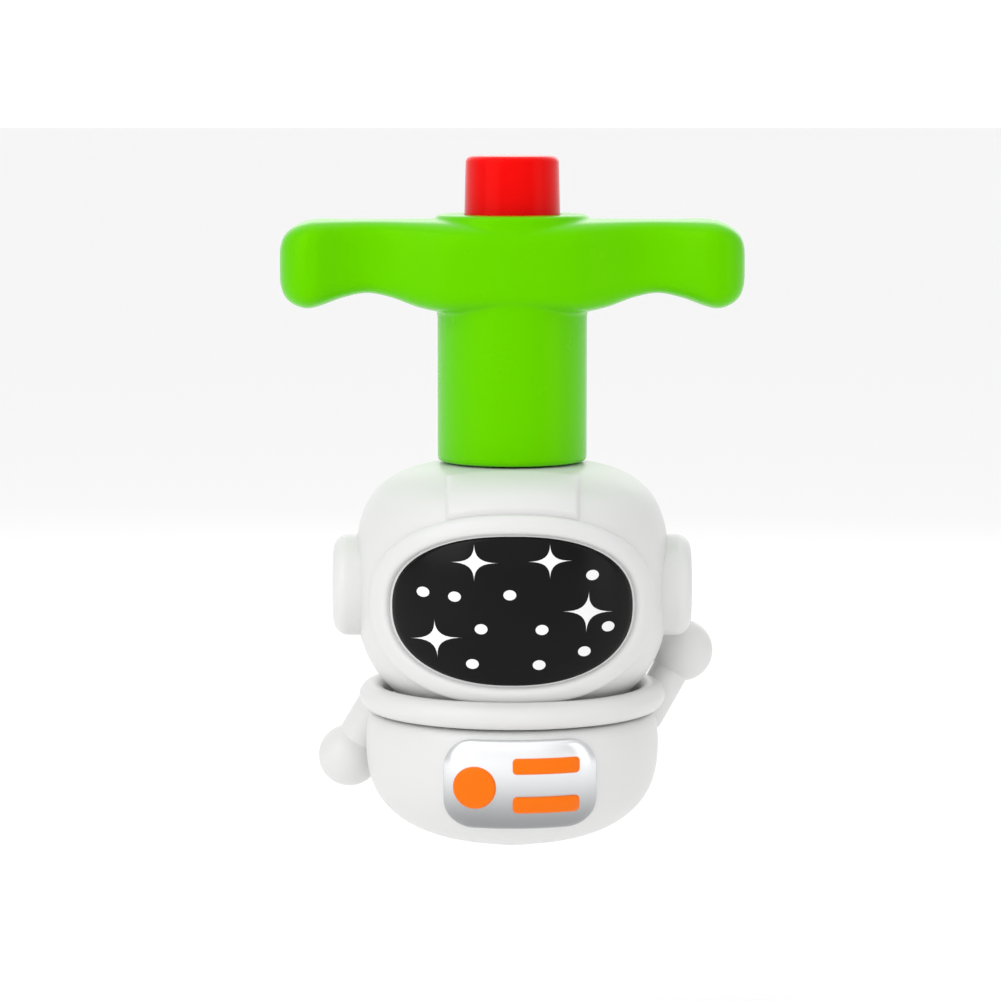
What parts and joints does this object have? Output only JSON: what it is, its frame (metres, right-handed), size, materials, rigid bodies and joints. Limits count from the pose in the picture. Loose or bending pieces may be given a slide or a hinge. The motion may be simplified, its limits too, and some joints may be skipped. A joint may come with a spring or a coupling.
{
  "type": "spinning top with wind-up launcher",
  "caption": "Astronaut spinning top under a T-handled wind-up launcher; a red push button lets the spring drive spin and drop the top.",
  "frame": {"origin": "the point of the spin tip, where the top touches the surface it spins on", "axes": "+Z along the spin axis, up towards the button; the astronaut faces -Y; the handle's arms lie along X"},
  "size_m": [0.0688, 0.0483, 0.1037],
  "materials": {
    "green_plastic": "bright lime-green moulded plastic, semi-gloss",
    "red_plastic": "bright red moulded plastic, gloss",
    "white_plastic": "warm white moulded plastic, satin",
    "visor_black": "black gloss plastic printed with white stars",
    "silver_plastic": "silver-grey plastic, satin sheen",
    "orange_plastic": "orange plastic, semi-gloss",
    "steel": "plain steel",
    "spring_steel": "blued spring steel",
    "nylon": "natural nylon",
    "rubber": "black rubber"
  },
  "bodies": {
    "launcher": {"handle_front_shell": "green_plastic", "handle_back_shell": "green_plastic", "handle_screw_1": "steel", "handle_screw_2": "steel", "handle_screw_3": "steel", "handle_screw_4": "steel", "nose_cap": "green_plastic", "spring_barrel": "nylon", "barrel_cover": "steel", "mainspring": "spring_steel", "mechanism_plate": "steel", "bridge_plate": "steel", "pawl_pin": "steel", "pawl_spring": "spring_steel", "button_spring": "spring_steel"},
    "button": {"button": "red_plastic", "release_rod": "steel"},
    "pawl": {"pawl": "steel"},
    "spindle": {"spindle": "nylon", "ratchet_wheel": "nylon", "spindle_clip": "steel", "thrust_washer": "steel"},
    "ejector": {"ejector_plunger": "steel"},
    "top": {"helmet_front_shell": "white_plastic", "helmet_back_shell": "white_plastic", "visor": "visor_black", "visor_bezel": "white_plastic", "left_ear_pod": "white_plastic", "right_ear_pod": "white_plastic", "helmet_screw_1": "steel", "helmet_screw_2": "steel", "drive_socket": "nylon", "grip_ring": "rubber", "collar_ring": "white_plastic", "deck_plate": "nylon", "deck_screw_1": "steel", "deck_screw_2": "steel", "deck_screw_3": "steel", "deck_screw_4": "steel", "body_cup": "white_plastic", "base_screw_1": "steel", "base_screw_2": "steel", "base_screw_3": "steel", "base_screw_4": "steel", "hub_core": "nylon", "flywheel_ring": "steel", "base_cap": "white_plastic", "spin_tip": "steel", "lowered_arm": "white_plastic", "raised_arm": "white_plastic", "chest_panel": "silver_plastic", "chest_dial": "orange_plastic", "chest_bar_1": "orange_plastic", "chest_bar_2": "orange_plastic"}
  },
  "joints": [
    {"name": "button_press", "type": "slide", "parent": "launcher", "child": "button", "axis": [0, 0, -1], "range_m": [0, 0.003], "stiffness_N_per_m": 500, "springref_m": -0.004, "deforming": ["button_spring"]},
    {"name": "pawl_release", "type": "hinge", "parent": "launcher", "child": "pawl", "pos_m": [0.012, -0.001, 0.0848], "axis": [0, 0, -1], "range_deg": [0, 9.8]},
    {"name": "spindle_wind", "type": "hinge", "parent": "launcher", "child": "spindle", "pos_m": [0, 0, 0.085], "axis": [0, 0, 1], "range_deg": [0, 1620]},
    {"name": "ejector_push", "type": "slide", "parent": "spindle", "child": "ejector", "axis": [0, 0, -1], "range_m": [0, 0.003]},
    {"name": "top_drop", "type": "slide", "parent": "ejector", "child": "top", "axis": [0, 0, -1], "range_m": [0, 0.03]}
  ],
  "couplings": [
    {"joint": "pawl_release", "follows": "button_press", "rad_per_m": 56.818},
    {"joint": "ejector_push", "follows": "button_press", "ratio": 1}
  ]
}
